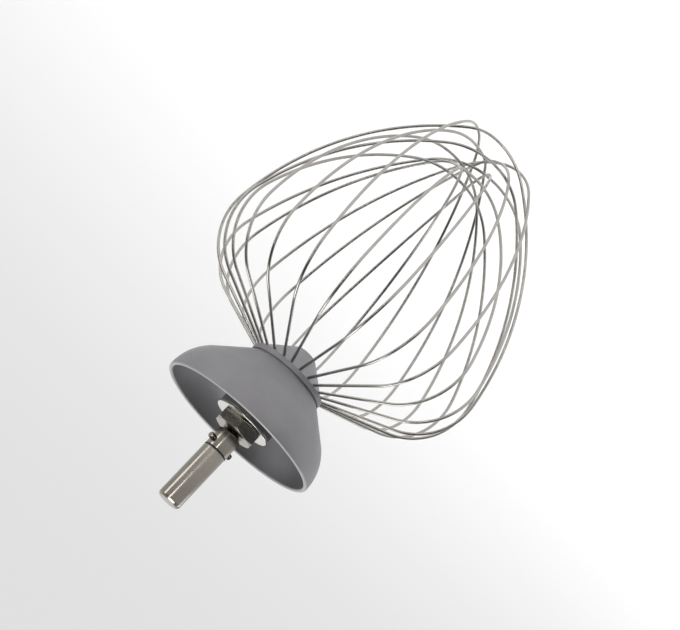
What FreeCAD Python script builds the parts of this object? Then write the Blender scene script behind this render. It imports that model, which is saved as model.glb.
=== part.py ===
import FreeCAD, Part
import math
import os
import re
import Sketcher

# Balloon whisk tool of a planetary stand mixer, in use position: shaft up, wire balloon down.
# The origin is on the shaft's axis, half way along the plain stretch that the mixer's socket grips.
# Lengths are millimetres and angles are degrees. Every piece is its own document object.

Vector = FreeCAD.Vector

# name, value, meaning: the driving sizes, each written once
SIZES = [
    ("shaft_radius", 6.35, "plain drive shaft, half inch across"),
    ("grip_length", 31.6, "plain stretch of shaft that the mixer's socket grips"),
    ("tip_chamfer", 1.0, "chamfer at the shaft's top end"),
    ("groove_width", 0.9, "groove for the O-ring"),
    ("groove_depth", 0.7, "groove for the O-ring"),
    ("o_ring_stand", 0.15, "how far the O-ring stands proud of the shaft"),
    ("groove_to_pin", 3.2, "lower edge of the groove to the cross pin's axis"),
    ("pin_radius", 1.6, "cross pin that drives the tool"),
    ("pin_length", 18.4, "cross pin, end to end"),
    ("pin_turn", -39.0, "direction of the cross pin about the shaft, from +X"),
    ("pin_chamfer", 0.3, "chamfer at the cross pin's ends"),
    ("pin_to_taper", 6.8, "cross pin's axis to the start of the taper"),
    ("taper_length", 2.0, "taper from the shaft down to its threaded neck"),
    ("neck_radius", 4.0, "threaded neck, 8 mm across the thread"),
    ("thread_pitch", 1.25, "coarse pitch of an 8 mm thread"),
    ("neck_gap", 0.1, "end of the taper to the lock nut's top face"),
    ("neck_length", 42.0, "threaded neck, below the lock nut's top face"),
    ("neck_chamfer", 0.8, "chamfer at the neck's lower end"),
    ("thread_clearance", 0.05, "gap around the neck in the nut, the washer and the bush"),
    ("nut_flats", 21.0, "lock nut across its flats"),
    ("nut_height", 6.3, "lock nut"),
    ("nut_corner_drop", 0.75, "height lost at the nut's chamfered corners"),
    ("nut_mouth_radius", 5.8, "countersink at the nut's top, clear of the shaft's taper"),
    ("washer_radius", 15.55, "flat washer under the nut"),
    ("washer_thickness", 1.1, "flat washer under the nut"),
    ("washer_rounding", 0.3, "rounded rim of the washer"),
    ("core_radius", 15.3, "hub core, just inside the washer's rim"),
    ("core_rounding", 0.4, "rounded top rim of the hub core"),
    ("flange_radius", 11.0, "flange of the threaded bush"),
    ("flange_thickness", 2.0, "flange of the threaded bush"),
    ("bush_radius", 7.5, "body of the threaded bush"),
    ("bush_clearance", 0.03, "gap around the bush in the core, the bell, the collar and the nose"),
    ("spigot_radius", 11.5, "spigot of the hub core that centres the bell"),
    ("rim_radius", 44.3, "bell at its rim, outside"),
    ("rim_rise", 3.4, "bell's rim above the washer's top face"),
    ("rim_land", 1.5, "upright band below the bell's rim"),
    ("bell_curve", 25.0, "radius of the bell's curved side"),
    ("bell_depth", 32.6, "bell, rim to underside"),
    ("bell_foot_radius", 22.0, "bell at its underside"),
    ("bell_wall", 2.1, "bell's wall"),
    ("bell_floor", 2.4, "bell's floor"),
    ("lip_rounding", 0.95, "rounded lip at the bell's rim"),
    ("foot_rounding", 0.8, "rounded foot of the bell"),
    ("undercut_radius", 20.6, "undercut between bell and collar"),
    ("undercut_width", 1.2, "undercut between bell and collar"),
    ("collar_radius", 21.5, "collar that holds the wires' ends"),
    ("collar_height", 2.9, "collar's outer wall, below the undercut"),
    ("collar_rounding", 0.5, "rounded edges of the collar"),
    ("wire_radius", 0.75, "whisk wire, 1.5 mm thick"),
    ("wire_clearance", 0.03, "gap around a wire's end in its socket"),
    ("wire_slope", 22.0, "slope of the wires where they leave the hub"),
    ("wire_exit_radius", 20.5, "where the wires leave the hub"),
    ("wire_exit_rise", 0.6, "collar's lower edge below the middle of the wires"),
    ("socket_depth", 7.0, "length of a wire's end inside the hub"),
    ("split_radius", 13.0, "inner end of the cone on which collar and nose meet"),
    ("wire_straight", 44.5, "straight stretch of wire, socket included"),
    ("shoulder_radius", 33.0, "bend at the balloon's shoulder"),
    ("first_loop_turn", 6.5, "direction of the first loop about the axis, from +X"),
    ("nose_tip_radius", 5.4, "nose at the start of its rounded tip"),
    ("nose_height", 12.8, "nose below the collar"),
    ("nose_rounding", 3.0, "rounded tip of the nose"),
    ("nose_floor", 3.6, "solid metal below the bush"),
]

# One loop a line. Hand-bent loops differ a little, and these are the sizes in which they do.
LOOP_SIZES = ("turn", "drop", "lean", "tilt", "shoulder", "side")
LOOP_MEANINGS = (
    "turned from its even place round the hub",
    "bottom of the loop below the collar, in its own plane",
    "bottom of the loop, off the axis, in its own plane",
    "plane of the loop, tilted about the line between its two sockets",
    "direction of the wire at the shoulder's end",
    "direction of the wire where the bottom bend starts",
)
LOOPS = [
    (-3.0, 153.5, 4.0, -7.5, 97.0, 143.0),
    (2.0, 148.5, 6.0, 6.0, 102.0, 132.0),
    (1.0, 137.5, 12.5, -1.0, 105.0, 141.0),
    (1.5, 156.0, 0.5, 3.5, 95.0, 136.0),
    (0.5, 153.0, 9.0, 1.5, 99.0, 139.0),
    (1.5, 144.0, 10.0, 1.5, 110.0, 134.0),
    (1.5, 129.5, -13.0, -2.0, 95.0, 142.0),
    (0.0, 159.0, 2.5, -5.5, 88.0, 145.0),
    (2.5, 155.0, 12.0, -5.0, 94.0, 144.0),
    (3.0, 144.0, 5.0, -7.0, 97.0, 140.0),
    (1.5, 132.0, 3.0, -2.0, 108.0, 141.0),
    (-1.0, 144.0, 1.5, 7.0, 103.0, 140.0),
]

# name, formula, meaning: heights along the shaft's axis that the driving sizes settle
LEVELS = [
    ("shaft_top", "grip_length / 2 + tip_chamfer", "shaft's top end"),
    ("groove_top", "-grip_length / 2", "O-ring groove, upper edge"),
    ("groove_foot", "groove_top - groove_width", "O-ring groove, lower edge"),
    ("pin_level", "groove_foot - groove_to_pin", "cross pin's axis"),
    ("taper_top", "pin_level - pin_to_taper", "start of the taper"),
    ("taper_foot", "taper_top - taper_length", "end of the taper"),
    ("nut_top", "taper_foot - neck_gap", "lock nut's top face"),
    ("neck_foot", "nut_top - neck_length", "shaft's lower end"),
    ("washer_top", "nut_top - nut_height", "washer's top face"),
    ("core_top", "washer_top - washer_thickness", "hub core's top face"),
    ("rim_level", "washer_top + rim_rise", "bell's rim"),
    ("bell_foot", "rim_level - bell_depth", "bell's underside"),
    ("bell_seat", "bell_foot + bell_floor", "bell's floor, inside"),
    ("collar_top", "bell_foot - undercut_width", "collar's outer wall, upper edge"),
    ("collar_foot", "collar_top - collar_height", "collar's outer wall, lower edge"),
    ("wire_level", "collar_foot - wire_exit_rise", "middle of a wire where it leaves the hub"),
    ("nose_foot", "wire_level - nose_height", "tip of the nose"),
    ("bush_foot", "nose_foot + nose_floor", "bush's lower end"),
]

doc = FreeCAD.newDocument("BalloonWhisk")
sheet = doc.addObject("Spreadsheet::Sheet", "Sizes")
names = set()


def write_sheet():
    """Fill the sheet: one row for each driving size, each loop's own sizes and each level."""
    rows = [(name, str(value), meaning) for name, value, meaning in SIZES]
    for number, values in enumerate(LOOPS, start=1):
        for name, value, meaning in zip(LOOP_SIZES, values, LOOP_MEANINGS):
            rows.append((f"loop_{number:02d}_{name}", str(value), meaning))
    rows += [(name, "=" + formula, meaning) for name, formula, meaning in LEVELS]
    for row, (name, content, meaning) in enumerate(rows, start=1):
        sheet.set(f"A{row}", name)
        sheet.set(f"B{row}", content)
        sheet.set(f"C{row}", meaning)
        sheet.setAlias(f"B{row}", name)
        names.add(name)
    doc.recompute()


def bound(formula):
    """Return a formula with the sheet's name in front of every size in it."""
    return re.sub(r"[a-z_][a-z_0-9]*",
                  lambda word: "Sizes." + word.group() if word.group() in names else word.group(),
                  formula)


def size(formula):
    """Return a formula's value in millimetres or degrees."""
    return float(sheet.evalExpression(bound(formula)))


def origin_feature(body, role):
    """Return a body's own origin plane or axis."""
    return next(item for item in body.Origin.OriginFeatures if item.Role == role)


def new_body(label):
    body = doc.addObject("PartDesign::Body", label)
    body.Label = label
    return body


def new_sketch(body, name, role):
    sketch = body.newObject("Sketcher::SketchObject", name)
    sketch.AttachmentSupport = [(origin_feature(body, role), "")]
    sketch.MapMode = "FlatFace"
    return sketch


def pin_corner(sketch, element, end, formulas):
    """Tie one end of a sketch element to the two formulas of its place."""
    for kind, formula in zip(("DistanceX", "DistanceY"), formulas):
        index = sketch.addConstraint(Sketcher.Constraint(kind, -1, 1, element, end, size(formula)))
        sketch.setExpression(f"Constraints[{index}]", bound(formula))


def add_side(sketch, start, end, bulge):
    """Add a straight or curved side and return the number of its first and last ends."""
    first = Vector(size(start[0]), size(start[1]), 0)
    last = Vector(size(end[0]), size(end[1]), 0)
    if bulge is None:
        sketch.addGeometry(Part.LineSegment(first, last), False)
        return 1, 2
    radius = abs(size(bulge))
    chord = last - first
    across = Vector(-chord.y, chord.x, 0).normalize()
    reach = math.sqrt(radius ** 2 - (chord.Length / 2) ** 2)
    left = size(bulge) > 0
    centre = (first + last) / 2 + across * (reach if left else -reach)
    begin, finish = (first, last) if left else (last, first)
    angles = [math.atan2(point.y - centre.y, point.x - centre.x) for point in (begin, finish)]
    circle = Part.Circle(centre, Vector(0, 0, 1), radius)
    element = sketch.addGeometry(Part.ArcOfCircle(circle, angles[0], angles[1]), False)
    index = sketch.addConstraint(Sketcher.Constraint("Radius", element, radius))
    sketch.setExpression(f"Constraints[{index}]", bound(f"abs({bulge})"))
    return (1, 2) if left else (2, 1)


def closed_outline(sketch, corners, bulges=None):
    """Draw a closed outline. bulges gives a side's radius, positive where it turns to the left."""
    bulges = bulges or {}
    ends = []
    for number, start in enumerate(corners):
        end = corners[(number + 1) % len(corners)]
        ends.append(add_side(sketch, start, end, bulges.get(number)))
    for number, corner in enumerate(corners):
        following = (number + 1) % len(corners)
        sketch.addConstraint(Sketcher.Constraint("Coincident", number, ends[number][1],
                                                 following, ends[following][0]))
        pin_corner(sketch, number, ends[number][0], corner)


def turn_profile(body, name, corners, bulges=None, cut=False):
    """Turn an outline of radius and height formulas about the body's upright axis."""
    sketch = new_sketch(body, name + "_outline", "XZ_Plane")
    closed_outline(sketch, corners, bulges)
    feature = body.newObject("PartDesign::Groove" if cut else "PartDesign::Revolution", name)
    feature.Profile = sketch
    feature.ReferenceAxis = (sketch, ["V_Axis"])
    feature.Angle = 360
    doc.recompute()
    return feature


def rings_at(shape, formulas):
    """Name the round edges of a shape whose radius and height match the formulas."""
    found = []
    for radius, level in formulas:
        for number, edge in enumerate(shape.Edges, start=1):
            curve = edge.Curve
            if not isinstance(curve, Part.Circle):
                continue
            if abs(curve.Radius - size(radius)) < 0.001 and abs(curve.Center.z - size(level)) < 0.001:
                found.append(f"Edge{number}")
    return found


def round_rings(body, base, name, formulas, radius):
    """Round the circular edges at the given radii and heights."""
    feature = body.newObject("PartDesign::Fillet", name)
    feature.Base = (base, rings_at(base.Shape, formulas))
    feature.setExpression("Radius", bound(radius))
    doc.recompute()
    return feature


def make_drive_shaft():
    """Plain rod with an O-ring groove, a cross hole, a taper and a threaded neck."""
    body = new_body("drive_shaft")
    turn_profile(body, "shaft_turning", [
        ("0", "shaft_top"),
        ("0", "neck_foot"),
        ("neck_radius - neck_chamfer", "neck_foot"),
        ("neck_radius", "neck_foot + neck_chamfer"),
        ("neck_radius", "taper_foot"),
        ("shaft_radius", "taper_top"),
        ("shaft_radius", "groove_foot"),
        ("shaft_radius - groove_depth", "groove_foot"),
        ("shaft_radius - groove_depth", "groove_top"),
        ("shaft_radius", "groove_top"),
        ("shaft_radius", "shaft_top - tip_chamfer"),
        ("shaft_radius - tip_chamfer", "shaft_top"),
    ])
    hole = body.newObject("PartDesign::SubtractiveCylinder", "cross_hole")
    hole.setExpression("Radius", bound("pin_radius"))
    hole.setExpression("Height", bound("pin_length"))
    across = FreeCAD.Rotation(Vector(0, 0, 1), size("pin_turn")) * FreeCAD.Rotation(Vector(0, 1, 0), 90)
    start = across.multVec(Vector(0, 0, -size("pin_length / 2")))
    hole.Placement = FreeCAD.Placement(start + Vector(0, 0, size("pin_level")), across)
    doc.recompute()


def make_cross_pin():
    """Straight pin pressed through the shaft, standing out on both sides."""
    body = new_body("cross_pin")
    turn_profile(body, "pin_turning", [
        ("0", "-pin_length / 2"),
        ("pin_radius - pin_chamfer", "-pin_length / 2"),
        ("pin_radius", "-pin_length / 2 + pin_chamfer"),
        ("pin_radius", "pin_length / 2 - pin_chamfer"),
        ("pin_radius - pin_chamfer", "pin_length / 2"),
        ("0", "pin_length / 2"),
    ])
    across = FreeCAD.Rotation(Vector(0, 0, 1), size("pin_turn")) * FreeCAD.Rotation(Vector(0, 1, 0), 90)
    body.Placement = FreeCAD.Placement(Vector(0, 0, size("pin_level")), across)


def make_o_ring():
    """Rubber ring in the shaft's groove, which takes up play in the socket."""
    ring = doc.addObject("Part::Torus", "o_ring")
    ring.setExpression("Radius2", bound("(groove_depth + o_ring_stand) / 2"))
    ring.setExpression("Radius1", bound("shaft_radius + o_ring_stand - (groove_depth + o_ring_stand) / 2"))
    ring.setExpression("Placement.Base.z", bound("groove_top - groove_width / 2"))


def make_lock_nut():
    """Thin hexagon nut with chamfered corners and a countersunk top."""
    body = new_body("lock_nut")
    sketch = new_sketch(body, "nut_hexagon", "XY_Plane")
    corners = []
    for step in range(6):
        angle = 60 * step + 30
        corners.append((f"nut_flats / sqrt(3) * cos({angle})", f"nut_flats / sqrt(3) * sin({angle})"))
    closed_outline(sketch, corners)
    sketch.setExpression("AttachmentOffset.Base.z", bound("washer_top"))
    pad = body.newObject("PartDesign::Pad", "nut_blank")
    pad.Profile = sketch
    pad.setExpression("Length", bound("nut_height"))
    doc.recompute()
    bore = "neck_radius + thread_clearance"
    turn_profile(body, "nut_bore", [
        ("0", "washer_top"),
        (bore, "washer_top"),
        (bore, f"nut_top - nut_mouth_radius + {bore}"),
        ("nut_mouth_radius", "nut_top"),
        ("0", "nut_top"),
    ], cut=True)
    corner = "nut_flats / sqrt(3)"
    flat = "nut_flats / 2"
    rise = "nut_corner_drop"
    outside = f"{corner} + ({corner} - {flat})"
    turn_profile(body, "nut_top_corners", [
        (flat, "nut_top"),
        (outside, f"nut_top - 2 * {rise}"),
        (outside, "nut_top"),
    ], cut=True)
    turn_profile(body, "nut_foot_corners", [
        (flat, "washer_top"),
        (outside, "washer_top"),
        (outside, f"washer_top + 2 * {rise}"),
    ], cut=True)


def make_flat_washer():
    """Flat steel washer that spreads the nut's load over the hub core."""
    body = new_body("flat_washer")
    blank = turn_profile(body, "washer_turning", [
        ("neck_radius + thread_clearance", "core_top"),
        ("washer_radius", "core_top"),
        ("washer_radius", "washer_top"),
        ("neck_radius + thread_clearance", "washer_top"),
    ])
    rims = [("washer_radius", "washer_top"), ("washer_radius", "core_top")]
    round_rings(body, blank, "washer_rim", rims, "washer_rounding")


def make_threaded_bush():
    """Flanged steel bush that the shaft screws into and that ties the head together."""
    body = new_body("threaded_bush")
    turn_profile(body, "bush_turning", [
        ("neck_radius + thread_clearance", "bush_foot"),
        ("bush_radius", "bush_foot"),
        ("bush_radius", "core_top - flange_thickness"),
        ("flange_radius", "core_top - flange_thickness"),
        ("flange_radius", "core_top"),
        ("neck_radius + thread_clearance", "core_top"),
    ])


def make_hub_core():
    """Aluminium boss inside the bell, with a seat for the bush's flange."""
    body = new_body("hub_core")
    bore = "bush_radius + bush_clearance"
    seat = "flange_radius + bush_clearance"
    blank = turn_profile(body, "core_turning", [
        (bore, "bell_foot"),
        ("spigot_radius - bush_clearance", "bell_foot"),
        ("spigot_radius - bush_clearance", "bell_seat"),
        ("core_radius", "bell_seat"),
        ("core_radius", "core_top"),
        (seat, "core_top"),
        (seat, "core_top - flange_thickness"),
        (bore, "core_top - flange_thickness"),
    ])
    round_rings(body, blank, "core_rim", [("core_radius", "core_top")], "core_rounding")


def make_bell():
    """Cast bell, open upwards: upright rim, curved side, straight cone and flat floor."""
    body = new_body("bell")
    half = "bell_curve * (1 - cos(45))"
    fall = "bell_curve * sin(45)"
    inner_curve = "(bell_curve - bell_wall)"
    inner_half = f"{inner_curve} * (1 - cos(45))"
    inner_fall = f"{inner_curve} * sin(45)"
    inner_rim = "rim_radius - bell_wall"
    curve_top = "rim_level - rim_land"
    inner_foot = f"{inner_rim} - {inner_half} - ({curve_top} - {inner_fall} - bell_seat)"
    blank = turn_profile(body, "bell_turning", [
        ("spigot_radius", "bell_foot"),
        ("bell_foot_radius", "bell_foot"),
        (f"rim_radius - {half}", f"{curve_top} - {fall}"),
        ("rim_radius", curve_top),
        ("rim_radius", "rim_level"),
        (inner_rim, "rim_level"),
        (inner_rim, curve_top),
        (f"{inner_rim} - {inner_half}", f"{curve_top} - {inner_fall}"),
        (inner_foot, "bell_seat"),
        ("spigot_radius", "bell_seat"),
    ], bulges={2: "bell_curve", 6: "-(bell_curve - bell_wall)"})
    lip = [("rim_radius", "rim_level"), (inner_rim, "rim_level")]
    rounded = round_rings(body, blank, "bell_lip", lip, "lip_rounding")
    round_rings(body, rounded, "bell_foot_edge", [("bell_foot_radius", "bell_foot")], "foot_rounding")


def split_level(radius):
    """Height of the cone on which collar and nose meet and the wires lie, at a radius."""
    return f"wire_level + (wire_exit_radius - {radius}) * tan(wire_slope)"


def loop_size(number, name):
    """Return one of a loop's own sizes."""
    return size(f"loop_{number:02d}_{name}")


def loop_place(number):
    """Return the placement that turns and tilts a loop's plane, XZ before, to its place."""
    turn = size("first_loop_turn") + 180 / len(LOOPS) * (number - 1) + loop_size(number, "turn")
    hinge = Vector(0, 0, size("wire_level"))
    tilt = FreeCAD.Placement(Vector(), FreeCAD.Rotation(Vector(1, 0, 0), loop_size(number, "tilt")), hinge)
    return FreeCAD.Placement(Vector(), FreeCAD.Rotation(Vector(0, 0, 1), turn)).multiply(tilt)


def make_socket_tools():
    """Return one compound of the round rods that cut the sockets for both ends of every loop."""
    start_radius = size("wire_exit_radius - socket_depth * cos(wire_slope)")
    start_level = size("wire_level + socket_depth * sin(wire_slope)")
    rods = []
    for number in range(1, len(LOOPS) + 1):
        for side, name in ((1, "near"), (-1, "far")):
            rod = doc.addObject("Part::Cylinder", f"socket_{number:02d}_{name}")
            rod.setExpression("Radius", bound("wire_radius + wire_clearance"))
            rod.setExpression("Height", bound("socket_depth + 2 * (collar_radius - wire_exit_radius"
                                              " + wire_radius)"))
            slope = FreeCAD.Rotation(Vector(0, 1, 0), side * (90 + size("wire_slope")))
            flat = FreeCAD.Placement(Vector(side * start_radius, 0, start_level), slope)
            rod.Placement = loop_place(number).multiply(flat)
            rods.append(rod)
    tools = doc.addObject("Part::Compound", "socket_tools")
    tools.Links = rods
    doc.recompute()
    return tools


def cut_sockets(body, label, tools):
    """Make the finished piece: the turned body less the sockets."""
    piece = doc.addObject("Part::Cut", label)
    piece.Base = body
    piece.Tool = tools
    doc.recompute()


def make_wire_collar(tools):
    """Ring under the bell whose coned underside holds the wires' ends from above."""
    body = new_body("collar_blank")
    bore = "bush_radius + bush_clearance"
    blank = turn_profile(body, "collar_turning", [
        (bore, split_level("split_radius")),
        ("split_radius", split_level("split_radius")),
        ("wire_exit_radius", "wire_level"),
        ("collar_radius", "collar_foot"),
        ("collar_radius", "collar_top"),
        ("undercut_radius", "collar_top"),
        ("undercut_radius", "bell_foot"),
        (bore, "bell_foot"),
    ])
    rims = [("collar_radius", "collar_foot"), ("collar_radius", "collar_top")]
    round_rings(body, blank, "collar_rims", rims, "collar_rounding")
    cut_sockets(body, "wire_collar", tools)


def make_nose(tools):
    """Cone that screws on the bush and clamps the wires' ends from below."""
    body = new_body("nose_blank")
    bore = "bush_radius + bush_clearance"
    blank = turn_profile(body, "nose_turning", [
        ("0", "nose_foot"),
        ("nose_tip_radius", "nose_foot"),
        ("wire_exit_radius", "wire_level"),
        ("split_radius", split_level("split_radius")),
        (bore, split_level("split_radius")),
        (bore, "bush_foot"),
        ("0", "bush_foot"),
    ])
    round_rings(body, blank, "nose_tip", [("nose_tip_radius", "nose_foot")], "nose_rounding")
    cut_sockets(body, "nose", tools)


class WirePath:
    """Flat path of straight and round stretches, which starts at a point in a direction."""

    def __init__(self, radius, level, heading):
        self.place = Vector(radius, 0, level)
        self.heading = math.radians(heading)
        self.edges = []

    def straight(self, length):
        step = Vector(math.cos(self.heading), 0, -math.sin(self.heading)) * length
        self.edges.append(Part.LineSegment(self.place, self.place + step).toShape())
        self.place = self.place + step

    def bend(self, radius, heading):
        """Turn to a new direction, round a bend of the given radius."""
        begin = self.heading
        finish = math.radians(heading)

        def along(angle):
            return self.place + Vector(radius * (math.sin(angle) - math.sin(begin)), 0,
                                       -radius * (math.cos(begin) - math.cos(angle)))

        end = along(finish)
        self.edges.append(Part.Arc(self.place, along((begin + finish) / 2), end).toShape())
        self.place = end
        self.heading = finish


def half_loop(number, lean):
    """Edges from the hub to the loop's lowest point, which is at radius lean."""
    shoulder_end = loop_size(number, "shoulder")
    side_end = loop_size(number, "side")
    slope = size("wire_slope")
    path = WirePath(size("wire_exit_radius - socket_depth * cos(wire_slope)"),
                    size("wire_level + socket_depth * sin(wire_slope)"), slope)
    path.straight(size("wire_straight"))
    path.bend(size("shoulder_radius"), shoulder_end)
    shoulder = math.radians(shoulder_end)
    side = math.radians(side_end)
    inward = path.place.x - lean
    down = path.place.z - (size("wire_level") - loop_size(number, "drop"))
    # two equations for the side's radius and the bottom's radius: how far in, and how far down
    side_in = math.sin(shoulder) - math.sin(side)
    side_down = math.cos(shoulder) - math.cos(side)
    bottom_in = math.sin(side)
    bottom_down = 1 + math.cos(side)
    whole = side_in * bottom_down - bottom_in * side_down
    side_radius = (inward * bottom_down - bottom_in * down) / whole
    bottom_radius = (side_in * down - side_down * inward) / whole
    path.bend(side_radius, side_end)
    path.bend(bottom_radius, 180)
    return path.edges


def make_wire_loop(number):
    """One loop of whisk wire, from its socket on one side of the hub to the opposite one."""
    lean = loop_size(number, "lean")
    near = half_loop(number, lean)
    far = [edge.mirror(Vector(0, 0, 0), Vector(1, 0, 0)) for edge in half_loop(number, -lean)]
    spine = Part.Wire(Part.__sortEdges__(near + far))
    first = near[0]
    direction = first.tangentAt(first.FirstParameter)
    circle = Part.Circle(first.Vertexes[0].Point, direction, size("wire_radius"))
    section = Part.Wire([circle.toShape()])
    loop = doc.addObject("Part::Feature", f"wire_loop_{number:02d}")
    loop.Shape = spine.makePipeShell([section], True, False)
    loop.Placement = loop_place(number)


def kept_pieces():
    """The document's pieces, one for each node."""
    kinds = ("PartDesign::Body", "Part::Torus", "Part::Cut", "Part::Feature")
    return [item for item in doc.Objects
            if item.TypeId in kinds and not item.Label.endswith("_blank")]


def check_pieces(pieces):
    """Stop if any object failed or any piece's shape is missing, broken or not one solid."""
    for item in doc.Objects:
        if "Invalid" in item.State or "Error" in item.State:
            raise RuntimeError(f"{item.Label} failed: {item.State}")
    for piece in pieces:
        shape = piece.Shape
        if shape.isNull() or not shape.isValid() or len(shape.Solids) != 1:
            raise RuntimeError(f"{piece.Label} has no single valid solid")


def export_pieces(pieces):
    os.makedirs("parts", exist_ok=True)
    for piece in pieces:
        piece.Shape.exportStep(f"parts/{piece.Label}.step")
        print(f"{piece.Label}: {piece.Shape.Volume:.1f} mm3")


write_sheet()
make_drive_shaft()
make_cross_pin()
make_o_ring()
make_lock_nut()
make_flat_washer()
make_threaded_bush()
make_hub_core()
make_bell()
socket_tools = make_socket_tools()
make_wire_collar(socket_tools)
make_nose(socket_tools)
for loop_number in range(1, len(LOOPS) + 1):
    make_wire_loop(loop_number)
doc.recompute()
pieces = kept_pieces()
check_pieces(pieces)
export_pieces(pieces)
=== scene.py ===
import math

import bmesh
import bpy
from mathutils import Matrix, Vector


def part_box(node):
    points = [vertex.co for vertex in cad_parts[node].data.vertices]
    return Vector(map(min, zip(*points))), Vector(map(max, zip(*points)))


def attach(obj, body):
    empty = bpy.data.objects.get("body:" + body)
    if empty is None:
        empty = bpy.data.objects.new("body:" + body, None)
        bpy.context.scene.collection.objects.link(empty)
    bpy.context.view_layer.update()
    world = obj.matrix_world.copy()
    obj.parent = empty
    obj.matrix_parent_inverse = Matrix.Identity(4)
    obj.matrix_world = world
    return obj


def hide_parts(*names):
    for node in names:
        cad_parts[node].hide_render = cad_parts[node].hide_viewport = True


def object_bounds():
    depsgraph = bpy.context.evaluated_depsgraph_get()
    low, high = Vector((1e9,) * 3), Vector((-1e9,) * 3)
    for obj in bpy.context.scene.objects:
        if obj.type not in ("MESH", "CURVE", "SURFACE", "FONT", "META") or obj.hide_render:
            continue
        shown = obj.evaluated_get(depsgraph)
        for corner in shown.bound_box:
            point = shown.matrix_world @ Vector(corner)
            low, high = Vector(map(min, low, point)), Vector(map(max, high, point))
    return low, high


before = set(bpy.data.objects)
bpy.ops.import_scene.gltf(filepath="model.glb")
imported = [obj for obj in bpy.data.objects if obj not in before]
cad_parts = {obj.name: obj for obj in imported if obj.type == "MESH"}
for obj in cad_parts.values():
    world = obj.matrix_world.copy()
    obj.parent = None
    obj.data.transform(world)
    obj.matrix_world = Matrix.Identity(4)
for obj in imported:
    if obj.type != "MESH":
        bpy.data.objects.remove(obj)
CAD_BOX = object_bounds()

bl_info = {
    "name": "Balloon whisk",
    "version": (1, 0, 0),
    "blender": (4, 5, 0),
    "location": "3D View > Sidebar > Whisk",
    "description": "Builds the looks of a balloon whisk around its packed frame",
    "category": "Object",
}

MM = 0.001
THREAD_BORE = 4.05 * MM  # bore of the nut and the washer, around the 8 mm neck
FLOOR_WIDTH = 18.0

# Each hand-bent loop's own sizes, in millimetres and degrees:
# turn from its even place, drop, lean of its bottom, tilt, end of the shoulder, end of the side
LOOPS = (
    (-3.0, 153.5, 4.0, -7.5, 97.0, 143.0),
    (2.0, 148.5, 6.0, 6.0, 102.0, 132.0),
    (1.0, 137.5, 12.5, -1.0, 105.0, 141.0),
    (1.5, 156.0, 0.5, 3.5, 95.0, 136.0),
    (0.5, 153.0, 9.0, 1.5, 99.0, 139.0),
    (1.5, 144.0, 10.0, 1.5, 110.0, 134.0),
    (1.5, 129.5, -13.0, -2.0, 95.0, 142.0),
    (0.0, 159.0, 2.5, -5.5, 88.0, 145.0),
    (2.5, 155.0, 12.0, -5.0, 94.0, 144.0),
    (3.0, 144.0, 5.0, -7.0, 97.0, 140.0),
    (1.5, 132.0, 3.0, -2.0, 108.0, 141.0),
    (-1.0, 144.0, 1.5, 7.0, 103.0, 140.0),
)


def top_of(node):
    """Height of a node's top face, in metres."""
    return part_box(node)[1].z


def foot_of(node):
    """Height of a node's underside, in metres."""
    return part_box(node)[0].z


def radius_of(node):
    """Half of a round node's width, in metres."""
    low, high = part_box(node)
    return (high.x - low.x) / 2


def linear(code):
    """Turn an sRGB hex colour into linear red, green and blue."""
    parts = [int(code[place:place + 2], 16) / 255 for place in (1, 3, 5)]
    return [part / 12.92 if part <= 0.04045 else ((part + 0.055) / 1.055) ** 2.4 for part in parts]


def length_property(name, description, value):
    return bpy.props.FloatProperty(name=name, description=description, default=value,
                                   unit="LENGTH", precision=5)


def angle_property(name, description, degrees):
    return bpy.props.FloatProperty(name=name, description=description,
                                   default=math.radians(degrees), subtype="ANGLE")


def colour_property(name, description, code):
    return bpy.props.FloatVectorProperty(name=name, description=description, default=linear(code),
                                         subtype="COLOR", size=3, min=0, max=1)


class WhiskSizes(bpy.types.PropertyGroup):
    """Sizes of the pieces that are rebuilt here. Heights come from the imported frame."""

    thread_pitch: length_property("Thread pitch", "Rise of the neck's thread in one turn", 1.25 * MM)
    thread_depth: length_property("Thread depth", "Depth of the neck's thread", 0.62 * MM)
    wire_radius: length_property("Wire radius", "Half of the whisk wire's thickness", 0.75 * MM)
    wire_slope: angle_property("Wire slope", "Slope of the wires where they leave the hub", 22.0)
    wire_exit: length_property("Wire exit", "Radius at which the wires leave the hub", 20.5 * MM)
    socket_depth: length_property("Socket depth", "Length of a wire's end inside the hub", 7.0 * MM)
    wire_straight: length_property("Wire straight", "Straight stretch, socket included", 44.5 * MM)
    shoulder_radius: length_property("Shoulder", "Bend at the balloon's shoulder", 33.0 * MM)
    first_loop_turn: angle_property("First loop", "Direction of the first loop, from +X", 6.5)
    bell_curve: length_property("Bell curve", "Radius of the bell's curved side", 25.0 * MM)
    bell_wall: length_property("Bell wall", "Thickness of the bell's wall", 2.1 * MM)


class WhiskColours(bpy.types.PropertyGroup):
    """Base colours of the finishes."""

    rod: colour_property("Ground rod", "Shaft and cross pin", "#8E8981")
    nut: colour_property("Machined steel", "Lock nut", "#98948A")
    plate: colour_property("Polished steel", "Flat washer", "#D2D0CC")
    wire: colour_property("Drawn wire", "Whisk wires", "#A3A09C")
    coat: colour_property("Blasted aluminium", "Bell, collar and nose", "#828184")
    bare: colour_property("Turned aluminium", "Hub core", "#8E8E8C")
    rubber: colour_property("Rubber", "O-ring", "#1C1B1A")
    floor: colour_property("Floor", "Plain floor", "#F4F4F4")


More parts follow.
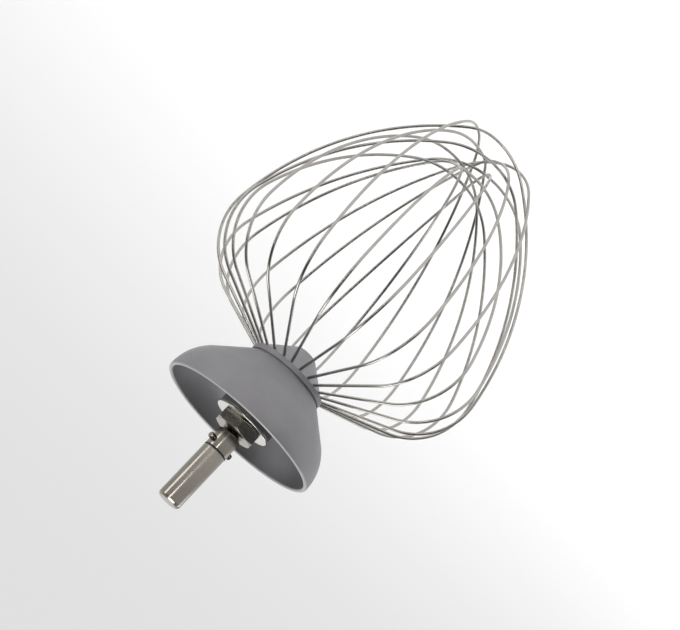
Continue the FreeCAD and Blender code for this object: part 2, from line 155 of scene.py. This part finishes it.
class WhiskStage(bpy.types.PropertyGroup):
    """Camera and light."""

    elevation: angle_property("Elevation", "Height of the camera above the horizon", 15.4)
    roll: angle_property("Roll", "Turn of the camera about its own line of sight", 223.5)
    distance: length_property("Distance", "Camera to the point it aims at", 1.322)
    lens: bpy.props.FloatProperty(name="Lens", description="Focal length in millimetres",
                                  default=144.4, unit="CAMERA")
    aim_x: length_property("Aim sideways", "Aimed point beside the shaft's axis", 0.0015)
    aim_drop: length_property("Aim down", "Aimed point below the origin", 0.1076)
    floor_gap: length_property("Floor gap", "Floor below the balloon's bottom", 0.12)


# ---- materials ----

def add_node(tree, kind, settings=None, **links):
    """Add a node, set its sockets and fields, and link sockets to other nodes' outputs."""
    node = tree.nodes.new(kind)
    for name, value in (settings or {}).items():
        if name in node.inputs:
            node.inputs[name].default_value = value
        else:
            setattr(node, name, value)
    for name, source in links.items():
        tree.links.new(source, node.inputs[name.replace("_", " ")])
    return node


def start_material(name):
    material = bpy.data.materials.new(name)
    material.use_nodes = True
    tree = material.node_tree
    tree.nodes.clear()
    return material, tree


def grain(tree, source, spacing_mm, stretch=(1, 1, 1), detail=3.0):
    """Noise whose lumps are spacing_mm apart, drawn out by stretch along x, y and z."""
    scale = [1 / (spacing_mm * MM * part) for part in stretch]
    placed = add_node(tree, "ShaderNodeMapping", {"Scale": scale}, Vector=source)
    return add_node(tree, "ShaderNodeTexNoise", {"Scale": 1.0, "Detail": detail, "Roughness": 0.55},
                    Vector=placed.outputs["Vector"]).outputs["Fac"]


def spread(tree, value, low, high):
    """Bring a noise value, which lies mostly between 0.3 and 0.7, between low and high."""
    return add_node(tree, "ShaderNodeMapRange",
                    {"From Min": 0.3, "From Max": 0.7, "To Min": low, "To Max": high},
                    Value=value).outputs["Result"]


def shade(tree, value, colour, dark, light):
    """Colour that runs from dark to light times the base colour with a noise value."""
    ends = [[min(part * times, 1) for part in colour] + [1] for times in (dark, light)]
    share = spread(tree, value, 0, 1)
    mix = add_node(tree, "ShaderNodeMix", {"data_type": "RGBA"})
    mix.inputs[6].default_value, mix.inputs[7].default_value = ends
    tree.links.new(share, mix.inputs[0])
    return mix.outputs[2]


def close_material(tree, settings, colour, roughness, height, height_mm):
    """Finish a material with its shader and the bump from a height."""
    bump = add_node(tree, "ShaderNodeBump", {"Strength": 1.0, "Distance": height_mm * MM}, Height=height)
    shader = add_node(tree, "ShaderNodeBsdfPrincipled", settings, Base_Color=colour,
                      Roughness=roughness, Normal=bump.outputs["Normal"])
    add_node(tree, "ShaderNodeOutputMaterial", Surface=shader.outputs["BSDF"])


def ground_steel(name, colour, low, high, depth_mm=0.002):
    """Stainless bar, centreless ground: bright, with fine rings round it that soften its glare."""
    material, tree = start_material(name)
    place = add_node(tree, "ShaderNodeTexCoord").outputs["Object"]
    rings = grain(tree, place, 0.45, (60, 60, 1))  # real marks are 0.05 mm apart; these are coarser to show
    cloud = grain(tree, place, 7.0)
    both = add_node(tree, "ShaderNodeMath", {"operation": "MULTIPLY_ADD"})
    tree.links.new(rings, both.inputs[0])
    both.inputs[1].default_value = 0.7
    tree.links.new(cloud, both.inputs[2])
    halved = add_node(tree, "ShaderNodeMath", {"operation": "MULTIPLY"})
    tree.links.new(both.outputs[0], halved.inputs[0])
    halved.inputs[1].default_value = 0.59
    close_material(tree, {"Metallic": 1.0}, shade(tree, cloud, colour, 0.92, 1.05),
                   spread(tree, halved.outputs[0], low, high), rings, depth_mm)
    return material


def drawn_wire(name, colour):
    """Stainless spring wire, drawn and tumbled: mirror-like, with faint streaks along its length."""
    material, tree = start_material(name)
    along = add_node(tree, "ShaderNodeAttribute", {"attribute_name": "wire_run"}).outputs["Vector"]
    streaks = grain(tree, along, 0.35, (1, 1, 90))  # real draw marks are 0.02 mm wide; coarser to show
    stains = grain(tree, along, 9.0, (1, 1, 2))
    close_material(tree, {"Metallic": 1.0}, shade(tree, stains, colour, 0.86, 1.06),
                   spread(tree, streaks, 0.14, 0.27), streaks, 0.004)
    return material


def blasted_coat(name, colour, rim_level):
    """Cast aluminium, bead blasted and clear anodised: satin grey with a fine even grain."""
    material, tree = start_material(name)
    place = add_node(tree, "ShaderNodeTexCoord").outputs["Object"]
    beads = grain(tree, place, 0.5, detail=2.0)  # beads dent it 0.15 mm apart; drawn coarser to show
    cloud = grain(tree, place, 14.0, detail=4.0)
    colour_out = shade(tree, cloud, colour, 0.95, 1.05)
    # painted highlight: the last millimetre below the lip is lighter, standing in for the light the rounded
    # lip catches
    height = add_node(tree, "ShaderNodeSeparateXYZ", Vector=place).outputs["Z"]
    rim_highlight = add_node(tree, "ShaderNodeMapRange", {"From Min": rim_level - 0.9 * MM, "From Max": rim_level,
                                                 "To Min": 0.0, "To Max": 0.55}, Value=height)
    mix = add_node(tree, "ShaderNodeMix", {"data_type": "RGBA"})
    # colour of the painted highlight along the lip
    mix.inputs[7].default_value = linear("#C9CAC9") + [1]
    tree.links.new(rim_highlight.outputs["Result"], mix.inputs[0])
    tree.links.new(colour_out, mix.inputs[6])
    close_material(tree, {"Metallic": 0.5}, mix.outputs[2], spread(tree, beads, 0.50, 0.60), beads, 0.010)
    return material


def moulded_rubber(name, colour):
    """Nitrile rubber, moulded: nearly black and dull, with a dry bloom in patches."""
    material, tree = start_material(name)
    place = add_node(tree, "ShaderNodeTexCoord").outputs["Object"]
    bloom = grain(tree, place, 1.2)
    close_material(tree, {"Metallic": 0.0, "IOR": 1.52}, shade(tree, bloom, colour, 0.8, 1.6),
                   spread(tree, bloom, 0.55, 0.75), bloom, 0.01)
    return material


def dress(piece, material):
    """Give a piece its one material."""
    piece.data.materials.clear()
    piece.data.materials.append(material)


def material_of(name, maker, *values):
    """Return the named material, made by its maker the first time it is asked for."""
    return bpy.data.materials.get(name) or maker(name, *values)


# ---- meshes ----

def rounded(corners, steps=6):
    """Points of an outline of (radius, height, rounding) corners, with each rounding as an arc."""
    points = []
    for number, (radius, level, rounding) in enumerate(corners):
        corner = Vector((radius, level))
        if rounding <= 0:
            points.append(corner)
            continue
        before = Vector(corners[number - 1][:2]) - corner
        after = Vector(corners[(number + 1) % len(corners)][:2]) - corner
        before.normalize()
        after.normalize()
        half = math.acos(max(-1, min(1, before.dot(after)))) / 2
        reach = rounding / math.tan(half)
        centre = corner + (before + after).normalized() * (rounding / math.sin(half))
        first = corner + before * reach - centre
        last = corner + after * reach - centre
        sweep = first.angle_signed(last)
        for step in range(steps + 1):
            turn = -sweep * step / steps
            points.append(centre + Matrix.Rotation(turn, 2) @ first)
    return points


def arc(centre, radius, start, end, steps):
    """Points of an arc between two angles in degrees, in the plane of radius and height."""
    angles = [math.radians(start + (end - start) * step / steps) for step in range(steps + 1)]
    return [Vector((centre[0] + radius * math.cos(angle), centre[1] + radius * math.sin(angle)))
            for angle in angles]


def mesh_from_rings(name, rings, closed_ends):
    """Mesh from rings of points with equal counts. Ends are closed with a fan, or joined in a loop."""
    mesh = bpy.data.meshes.new(name)
    work = bmesh.new()
    verts = [[work.verts.new(point) for point in ring] for ring in rings]
    count = len(rings[0])
    pairs = list(zip(verts, verts[1:])) + ([] if closed_ends else [(verts[-1], verts[0])])
    for lower, upper in pairs:
        for step in range(count):
            following = (step + 1) % count
            work.faces.new((lower[step], lower[following], upper[following], upper[step]))
    if closed_ends:
        for ring, back in ((verts[0], True), (verts[-1], False)):
            hub = work.verts.new(sum((vert.co for vert in ring), Vector()) / count)
            for step in range(count):
                pair = (ring[step], ring[(step + 1) % count])
                work.faces.new((hub, *(reversed(pair) if back else pair)))
    bmesh.ops.recalc_face_normals(work, faces=work.faces)
    work.to_mesh(mesh)
    work.free()
    return mesh


def add_piece(name, mesh, sharp_degrees=35):
    """Link a mesh to the scene as a piece, shaded smooth apart from its sharp edges."""
    mesh.shade_smooth()
    mesh.set_sharp_from_angle(angle=math.radians(sharp_degrees))
    piece = bpy.data.objects.new(name, mesh)
    bpy.context.scene.collection.objects.link(piece)
    return piece


def lathe(name, outline, segments=160, closed_ends=False):
    """Piece turned from an outline of (radius, height) points."""
    rings = []
    for radius, level in outline:
        angles = [2 * math.pi * step / segments for step in range(segments)]
        rings.append([Vector((radius * math.cos(a), radius * math.sin(a), level)) for a in angles])
    return add_piece(name, mesh_from_rings(name, rings, closed_ends))


def settle(piece, body, node, material):
    """Let a piece stand for its CAD node: its body and its finish."""
    dress(piece, material)
    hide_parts(node)
    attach(piece, body)


def keep_node(node, material):
    """Keep a CAD node's own shape and give it a finish."""
    dress(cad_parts[node], material)


def shaft_rings(sizes, segments=96):
    """Rings of the drive shaft, from its threaded foot up to its chamfered tip."""
    groove_top, groove_foot = top_of("o_ring") - 0.025 * MM, foot_of("o_ring") + 0.025 * MM
    shaft_radius = radius_of("o_ring") - 0.15 * MM
    nut_top = top_of("lock_nut")
    taper_foot = nut_top + 0.1 * MM
    taper_top = taper_foot + 2.0 * MM
    low, top = foot_of("drive_shaft"), top_of("drive_shaft")
    neck, chamfer = 4.0 * MM, 0.8 * MM
    rings = []

    def ring(radii, level):
        rings.append([Vector((radius * math.cos(angle), radius * math.sin(angle), level))
                      for angle, radius in zip(angles, radii)])

    angles = [2 * math.pi * step / segments for step in range(segments)]
    rows = round((taper_foot - low) / (sizes.thread_pitch / 10))
    for row in range(rows + 1):
        level = low + (taper_foot - low) * row / rows
        # the ridge fades in at the foot's chamfer and runs out just below the taper
        limit = neck - max(0, chamfer - (level - low))
        fade = min(1, max(0, (taper_foot - 0.3 * MM - level) / (0.8 * MM)))
        radii = []
        for angle in angles:
            phase = (level / sizes.thread_pitch - angle / (2 * math.pi)) % 1
            flank = min(1, max(0, abs(phase - 0.5) * 2 * 1.25 - 0.125))
            radii.append(min(limit, neck - sizes.thread_depth * flank * fade))
        ring(radii, level)
    edge = 0.12 * MM
    upper = rounded([
        (neck, taper_foot, 0), (shaft_radius, taper_top, 0.5 * MM),
        (shaft_radius, groove_foot, edge), (shaft_radius - 0.7 * MM, groove_foot, 0),
        (shaft_radius - 0.7 * MM, groove_top, 0), (shaft_radius, groove_top, edge),
        (shaft_radius, top - 1.0 * MM, 0.4 * MM), (shaft_radius - 1.0 * MM, top, 0.2 * MM), (0, top, 0),
    ])
    for radius, level in upper[1:-1]:
        ring([radius] * segments, level)
    return rings


class WHISK_OT_shaft(bpy.types.Operator):
    """Build the drive shaft with its thread, and finish its cross pin and O-ring"""

    bl_idname = "whisk.shaft"
    bl_label = "Shaft"

    def execute(self, context):
        colours = context.scene.whisk_colours
        steel = material_of("stainless_bar_ground", ground_steel, list(colours.rod), 0.13, 0.25)
        mesh = mesh_from_rings("shaft_rod", shaft_rings(context.scene.whisk_sizes), True)
        settle(add_piece("shaft_rod", mesh, 30), "shaft", "drive_shaft", steel)
        keep_node("cross_pin", steel)
        keep_node("o_ring", material_of("nitrile_rubber_moulded", moulded_rubber, list(colours.rubber)))
        return {"FINISHED"}


class WHISK_OT_nut(bpy.types.Operator):
    """Build the lock nut, a hexagon with chamfered corners and softened edges"""

    bl_idname = "whisk.nut"
    bl_label = "Lock nut"

    def execute(self, context):
        low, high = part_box("lock_nut")
        flats = (high.x - low.x) / 2
        corner = (high.y - low.y) / 2
        flats, corner = min(flats, corner), max(flats, corner)
        soft, drop, bore, mouth = 0.35 * MM, 0.75 * MM, THREAD_BORE, 5.8 * MM
        inset = corner - soft / math.cos(math.radians(30))
        outline = []
        for side in range(6):
            middle = math.radians(60 * side + 30)
            centre = Vector((math.cos(middle), math.sin(middle))) * inset
            for step in range(7):
                angle = middle + math.radians(-30 + 10 * step)
                outline.append(centre + Vector((math.cos(angle), math.sin(angle))) * soft)
            here = outline[-1]
            following = math.radians(60 * side + 90)
            ahead = Vector((math.cos(following), math.sin(following))) * inset
            angle = following - math.radians(30)
            there = ahead + Vector((math.cos(angle), math.sin(angle))) * soft
            outline += [here.lerp(there, step / 12) for step in range(1, 12)]

        def fall(point):
            return drop * max(0, point.length - flats) / (corner - flats)

        def ring(radius, level):
            return [Vector((*(point.normalized() * radius), level)) for point in outline]

        rings = [ring(bore, low.z), ring(flats - 0.6 * MM, low.z), ring(flats - 0.05 * MM, low.z)]
        rings.append([Vector((*(point * 0.994), low.z + fall(point))) for point in outline])
        rings.append([Vector((*point, low.z + fall(point) + 0.12 * MM)) for point in outline])
        rings.append([Vector((*point, high.z - fall(point) - 0.12 * MM)) for point in outline])
        rings.append([Vector((*(point * 0.994), high.z - fall(point))) for point in outline])
        rings += [ring(flats - 0.05 * MM, high.z), ring(flats - 0.6 * MM, high.z),
                  ring(mouth + 0.1 * MM, high.z), ring(mouth, high.z - 0.1 * MM),
                  ring(bore, high.z - mouth + bore)]
        nut = add_piece("hexagon_nut", mesh_from_rings("hexagon_nut", rings, False), 25)
        steel = material_of("steel_nut_machined", ground_steel,
                            list(context.scene.whisk_colours.nut), 0.24, 0.30, 0.0004)
        settle(nut, "nut", "lock_nut", steel)
        return {"FINISHED"}


class WHISK_OT_washer(bpy.types.Operator):
    """Build the flat washer with its rounded rim"""

    bl_idname = "whisk.washer"
    bl_label = "Washer"

    def execute(self, context):
        low, high = foot_of("flat_washer"), top_of("flat_washer")
        rim, bore = radius_of("flat_washer"), THREAD_BORE
        disc = lathe("washer_disc", rounded([
            (bore, low, 0.1 * MM), (rim, low, 0.3 * MM), (rim, high, 0.3 * MM), (bore, high, 0.1 * MM)]))
        steel = material_of("steel_washer_polished", ground_steel,
                            list(context.scene.whisk_colours.plate), 0.16, 0.28)
        settle(disc, "washer", "flat_washer", steel)
        return {"FINISHED"}


class WHISK_OT_bell(bpy.types.Operator):
    """Build the bell, and finish the hub core, bush, collar and nose"""

    bl_idname = "whisk.bell"
    bl_label = "Bell and hub"

    def execute(self, context):
        sizes, colours = context.scene.whisk_sizes, context.scene.whisk_colours
        rim_level, foot = top_of("bell"), foot_of("bell")
        rim, wall, curve = radius_of("bell"), sizes.bell_wall, sizes.bell_curve
        foot_radius, land, seat, bore = 22.0 * MM, 1.5 * MM, foot + 2.4 * MM, 11.5 * MM
        curve_top = rim_level - land
        inner = curve - wall
        inner_end = Vector((rim - curve, curve_top)) + Vector((1, -1)).normalized() * inner
        inner_foot = inner_end.x - (inner_end.y - seat)
        outside = arc((rim - curve, curve_top), curve, -45, 0, 28)
        inside = arc((rim - curve, curve_top), inner, 0, -45, 28)
        lower = rounded([(bore, foot, 0.1 * MM), (foot_radius, foot, 0.8 * MM),
                         (outside[0].x, outside[0].y, 0)])
        lip = rounded([(rim, curve_top, 0), (rim, rim_level, 0.95 * MM), (rim - wall, rim_level, 0.95 * MM),
                       (rim - wall, curve_top, 0)], 8)
        floor = rounded([(inside[-1].x, inside[-1].y, 0), (inner_foot, seat, 3.0 * MM),
                         (bore, seat, 0.0), (bore, foot, 0)])
        shell = lathe("bell_shell", lower[:-1] + outside + lip[1:-1] + inside + floor[1:-1], 256)
        coat = material_of("cast_aluminium_blasted", blasted_coat, list(colours.coat), rim_level)
        settle(shell, "head", "bell", coat)
        keep_node("wire_collar", coat)
        keep_node("nose", coat)
        keep_node("hub_core", material_of("aluminium_turned", ground_steel, list(colours.bare), 0.30, 0.45))
        keep_node("threaded_bush",
                  material_of("steel_bush_turned", ground_steel, list(colours.nut), 0.25, 0.4))
        return {"FINISHED"}


def half_path(sizes, loop, lean, step=1.6 * MM):
    """Points of half a loop in its own plane, from inside the hub to its lowest point."""
    slope, level = sizes.wire_slope, wire_level()
    shoulder, side = math.radians(loop[4]), math.radians(loop[5])
    place = Vector((sizes.wire_exit - sizes.socket_depth * math.cos(slope),
                    level + sizes.socket_depth * math.sin(slope)))
    points = [place.copy()]
    for part in range(1, 13):
        points.append(place + Vector((math.cos(slope), -math.sin(slope))) * (sizes.wire_straight * part / 12))
    place = points[-1]

    def bend(radius, begin, finish):
        count = max(6, math.ceil(radius * (finish - begin) / step))
        start = points[-1].copy()
        for part in range(1, count + 1):
            angle = begin + (finish - begin) * part / count
            points.append(start + Vector((radius * (math.sin(angle) - math.sin(begin)),
                                          -radius * (math.cos(begin) - math.cos(angle)))))

    bend(sizes.shoulder_radius, slope, shoulder)
    inward = points[-1].x - lean
    down = points[-1].y - (level - loop[1] * MM)
    side_in, side_down = math.sin(shoulder) - math.sin(side), math.cos(shoulder) - math.cos(side)
    bottom_in, bottom_down = math.sin(side), 1 + math.cos(side)
    whole = side_in * bottom_down - bottom_in * side_down
    bend((inward * bottom_down - bottom_in * down) / whole, shoulder, side)
    bend((side_in * down - side_down * inward) / whole, side, math.pi)
    return points


def wire_level():
    """Height of the middle of the wires where they leave the hub."""
    return foot_of("wire_collar")


def loop_path(sizes, number, loop):
    """Points of a whole loop in place."""
    lean = loop[2] * MM
    near = half_path(sizes, loop, lean)
    far = [Vector((-point.x, point.y)) for point in reversed(half_path(sizes, loop, -lean))]
    turn = sizes.first_loop_turn + math.radians(180 / len(LOOPS) * number + loop[0])
    hinge = Matrix.Translation((0, 0, wire_level()))
    tilt = Matrix.Rotation(math.radians(loop[3]), 4, "X")
    place = Matrix.Rotation(turn, 4, "Z") @ hinge @ tilt @ hinge.inverted()
    return [place @ Vector((x, 0, z)) for x, z in near + far[1:]], place.to_3x3() @ Vector((0, 1, 0))


def wire_mesh(name, path, across, radius, segments=14):
    """Tube along a flat path, with its run and its turn stored for the finish."""
    rings, runs, run = [], [], 0.0
    for number, point in enumerate(path):
        ahead = path[min(number + 1, len(path) - 1)] - path[max(number - 1, 0)]
        outward = ahead.normalized().cross(across)
        angles = [2 * math.pi * step / segments for step in range(segments)]
        rings.append([point + (across * math.cos(a) + outward * math.sin(a)) * radius for a in angles])
        if number:
            run += (point - path[number - 1]).length
        runs.extend((math.cos(a) * radius, math.sin(a) * radius, run) for a in angles)
    mesh = mesh_from_rings(name, rings, True)
    runs += [(0, 0, 0), (0, 0, run)]
    attribute = mesh.attributes.new("wire_run", "FLOAT_VECTOR", "POINT")
    attribute.data.foreach_set("vector", [part for value in runs for part in value])
    return mesh


class WHISK_OT_wires(bpy.types.Operator):
    """Build the twelve whisk wires as smooth tubes along their bends"""

    bl_idname = "whisk.wires"
    bl_label = "Wires"

    def execute(self, context):
        sizes = context.scene.whisk_sizes
        steel = material_of("stainless_wire_drawn", drawn_wire, list(context.scene.whisk_colours.wire))
        for number, loop in enumerate(LOOPS):
            name = f"whisk_wire_{number + 1:02d}"
            path, across = loop_path(sizes, number, loop)
            piece = add_piece(name, wire_mesh(name, path, across, sizes.wire_radius), 60)
            settle(piece, "head", f"wire_loop_{number + 1:02d}", steel)
        return {"FINISHED"}


def area_light(name, place, aim, width, height, power, colour=(1, 1, 1)):
    data = bpy.data.lights.new(name, "AREA")
    data.shape = "RECTANGLE"
    data.size, data.size_y, data.energy, data.color = width, height, power, colour
    light = bpy.data.objects.new(name, data)
    light.location = place
    light.rotation_mode = "QUATERNION"
    light.rotation_quaternion = (Vector(aim) - Vector(place)).to_track_quat("-Z", "Y")
    bpy.context.scene.collection.objects.link(light)


class WHISK_OT_stage(bpy.types.Operator):
    """Set the plain floor, the soft studio light and the camera"""

    bl_idname = "whisk.stage"
    bl_label = "Stage"

    def execute(self, context):
        scene, stage = context.scene, context.scene.whisk_stage
        scene.view_settings.view_transform = "Standard"
        # floor: one wide plane below the balloon
        level = CAD_BOX[0].z - stage.floor_gap
        mesh = bpy.data.meshes.new("floor")
        half = FLOOR_WIDTH / 2
        corners = [(-half, -half, level), (half, -half, level), (half, half, level), (-half, half, level)]
        mesh.from_pydata(corners, [], [(0, 1, 2, 3)])
        floor = bpy.data.objects.new("floor", mesh)
        scene.collection.objects.link(floor)
        material, tree = start_material("plain_floor")
        place = add_node(tree, "ShaderNodeTexCoord").outputs["Object"]
        cloud = grain(tree, place, 400.0)
        pale = shade(tree, cloud, list(context.scene.whisk_colours.floor), 0.99, 1.0)
        close_material(tree, {"Metallic": 0.0}, pale, spread(tree, cloud, 0.85, 0.95), cloud, 0.01)
        dress(floor, material)
        # room: bright behind the object, medium on its right, dark at the front on its left
        world = bpy.data.worlds.new("studio")
        scene.world = world
        world.use_nodes = True
        tree = world.node_tree
        tree.nodes.clear()
        place = add_node(tree, "ShaderNodeTexCoord").outputs["Generated"]
        split = add_node(tree, "ShaderNodeSeparateXYZ", Vector=place)
        depth = add_node(tree, "ShaderNodeMath", {"operation": "MULTIPLY_ADD"})
        tree.links.new(split.outputs["X"], depth.inputs[0])
        depth.inputs[1].default_value = 0.4
        tree.links.new(split.outputs["Y"], depth.inputs[2])
        level = add_node(tree, "ShaderNodeMapRange", {"interpolation_type": "SMOOTHSTEP", "From Min": -0.5,
                                                      "From Max": 1.15, "To Min": 0.07, "To Max": 1.0},
                         Value=depth.outputs[0]).outputs["Result"]
        room = add_node(tree, "ShaderNodeBackground", {"Color": (1, 1, 1, 1)}, Strength=level)
        plain = add_node(tree, "ShaderNodeBackground", {"Color": (1, 1, 1, 1), "Strength": 1.0})
        seen = add_node(tree, "ShaderNodeLightPath").outputs["Is Camera Ray"]
        mix = add_node(tree, "ShaderNodeMixShader")
        tree.links.new(seen, mix.inputs[0])
        tree.links.new(room.outputs[0], mix.inputs[1])
        tree.links.new(plain.outputs[0], mix.inputs[2])
        add_node(tree, "ShaderNodeOutputWorld", Surface=mix.outputs[0])
        middle = (0, 0, -0.09)
        area_light("softbox_top", (-0.2, -0.15, 0.9), middle, 0.7, 0.7, 7)
        area_light("softbox_left", (-0.9, 0.5, 0.25), middle, 0.35, 0.9, 3)
        area_light("softbox_right", (1.0, -0.35, 0.1), middle, 0.3, 0.9, 2.5)
        area_light("strip_front", (0.3, -1.2, 0.2), middle, 0.12, 0.9, 3, (1, 0.96, 0.94))
        # the wash lights the plain floor evenly from just above it, and shines away from the whisk
        low = CAD_BOX[0].z - stage.floor_gap / 2
        area_light("floor_wash", (0, 0, low), (0, 0, low - 1), FLOOR_WIDTH, FLOOR_WIDTH, 440)
        # camera
        data = bpy.data.cameras.new("camera")
        data.lens, data.sensor_width, data.sensor_fit = stage.lens, 36.0, "HORIZONTAL"
        data.clip_start, data.clip_end = 0.05, 60
        camera = bpy.data.objects.new("camera", data)
        toward = Vector((0, -math.cos(stage.elevation), math.sin(stage.elevation)))
        side = Vector((1, 0, 0))
        up = toward.cross(side)
        right = side * math.cos(stage.roll) + up * math.sin(stage.roll)
        above = toward.cross(right)
        camera.location = Vector((stage.aim_x, 0, -stage.aim_drop)) + toward * stage.distance
        camera.rotation_mode = "QUATERNION"
        camera.rotation_quaternion = Matrix((right, above, toward)).transposed().to_quaternion()
        scene.collection.objects.link(camera)
        scene.camera = camera
        return {"FINISHED"}


class WHISK_PT_panel(bpy.types.Panel):
    """Sidebar list of the whisk's pieces"""

    bl_label = "Balloon whisk"
    bl_idname = "WHISK_PT_panel"
    bl_space_type = "VIEW_3D"
    bl_region_type = "UI"
    bl_category = "Whisk"

    def draw(self, context):
        for operator in OPERATORS:
            self.layout.operator(operator.bl_idname)


OPERATORS = (WHISK_OT_shaft, WHISK_OT_nut, WHISK_OT_washer, WHISK_OT_bell, WHISK_OT_wires, WHISK_OT_stage)
GROUPS = {"whisk_sizes": WhiskSizes, "whisk_colours": WhiskColours, "whisk_stage": WhiskStage}


def register():
    for item in (*GROUPS.values(), *OPERATORS, WHISK_PT_panel):
        bpy.utils.register_class(item)
    for name, group in GROUPS.items():
        setattr(bpy.types.Scene, name, bpy.props.PointerProperty(type=group))


def unregister():
    for name in GROUPS:
        delattr(bpy.types.Scene, name)
    for item in (WHISK_PT_panel, *OPERATORS, *GROUPS.values()):
        bpy.utils.unregister_class(item)


def main():
    register()
    bpy.ops.whisk.shaft()
    bpy.ops.whisk.nut()
    bpy.ops.whisk.washer()
    bpy.ops.whisk.bell()
    bpy.ops.whisk.wires()
    bpy.ops.whisk.stage()


if __name__ == "__main__":
    main()
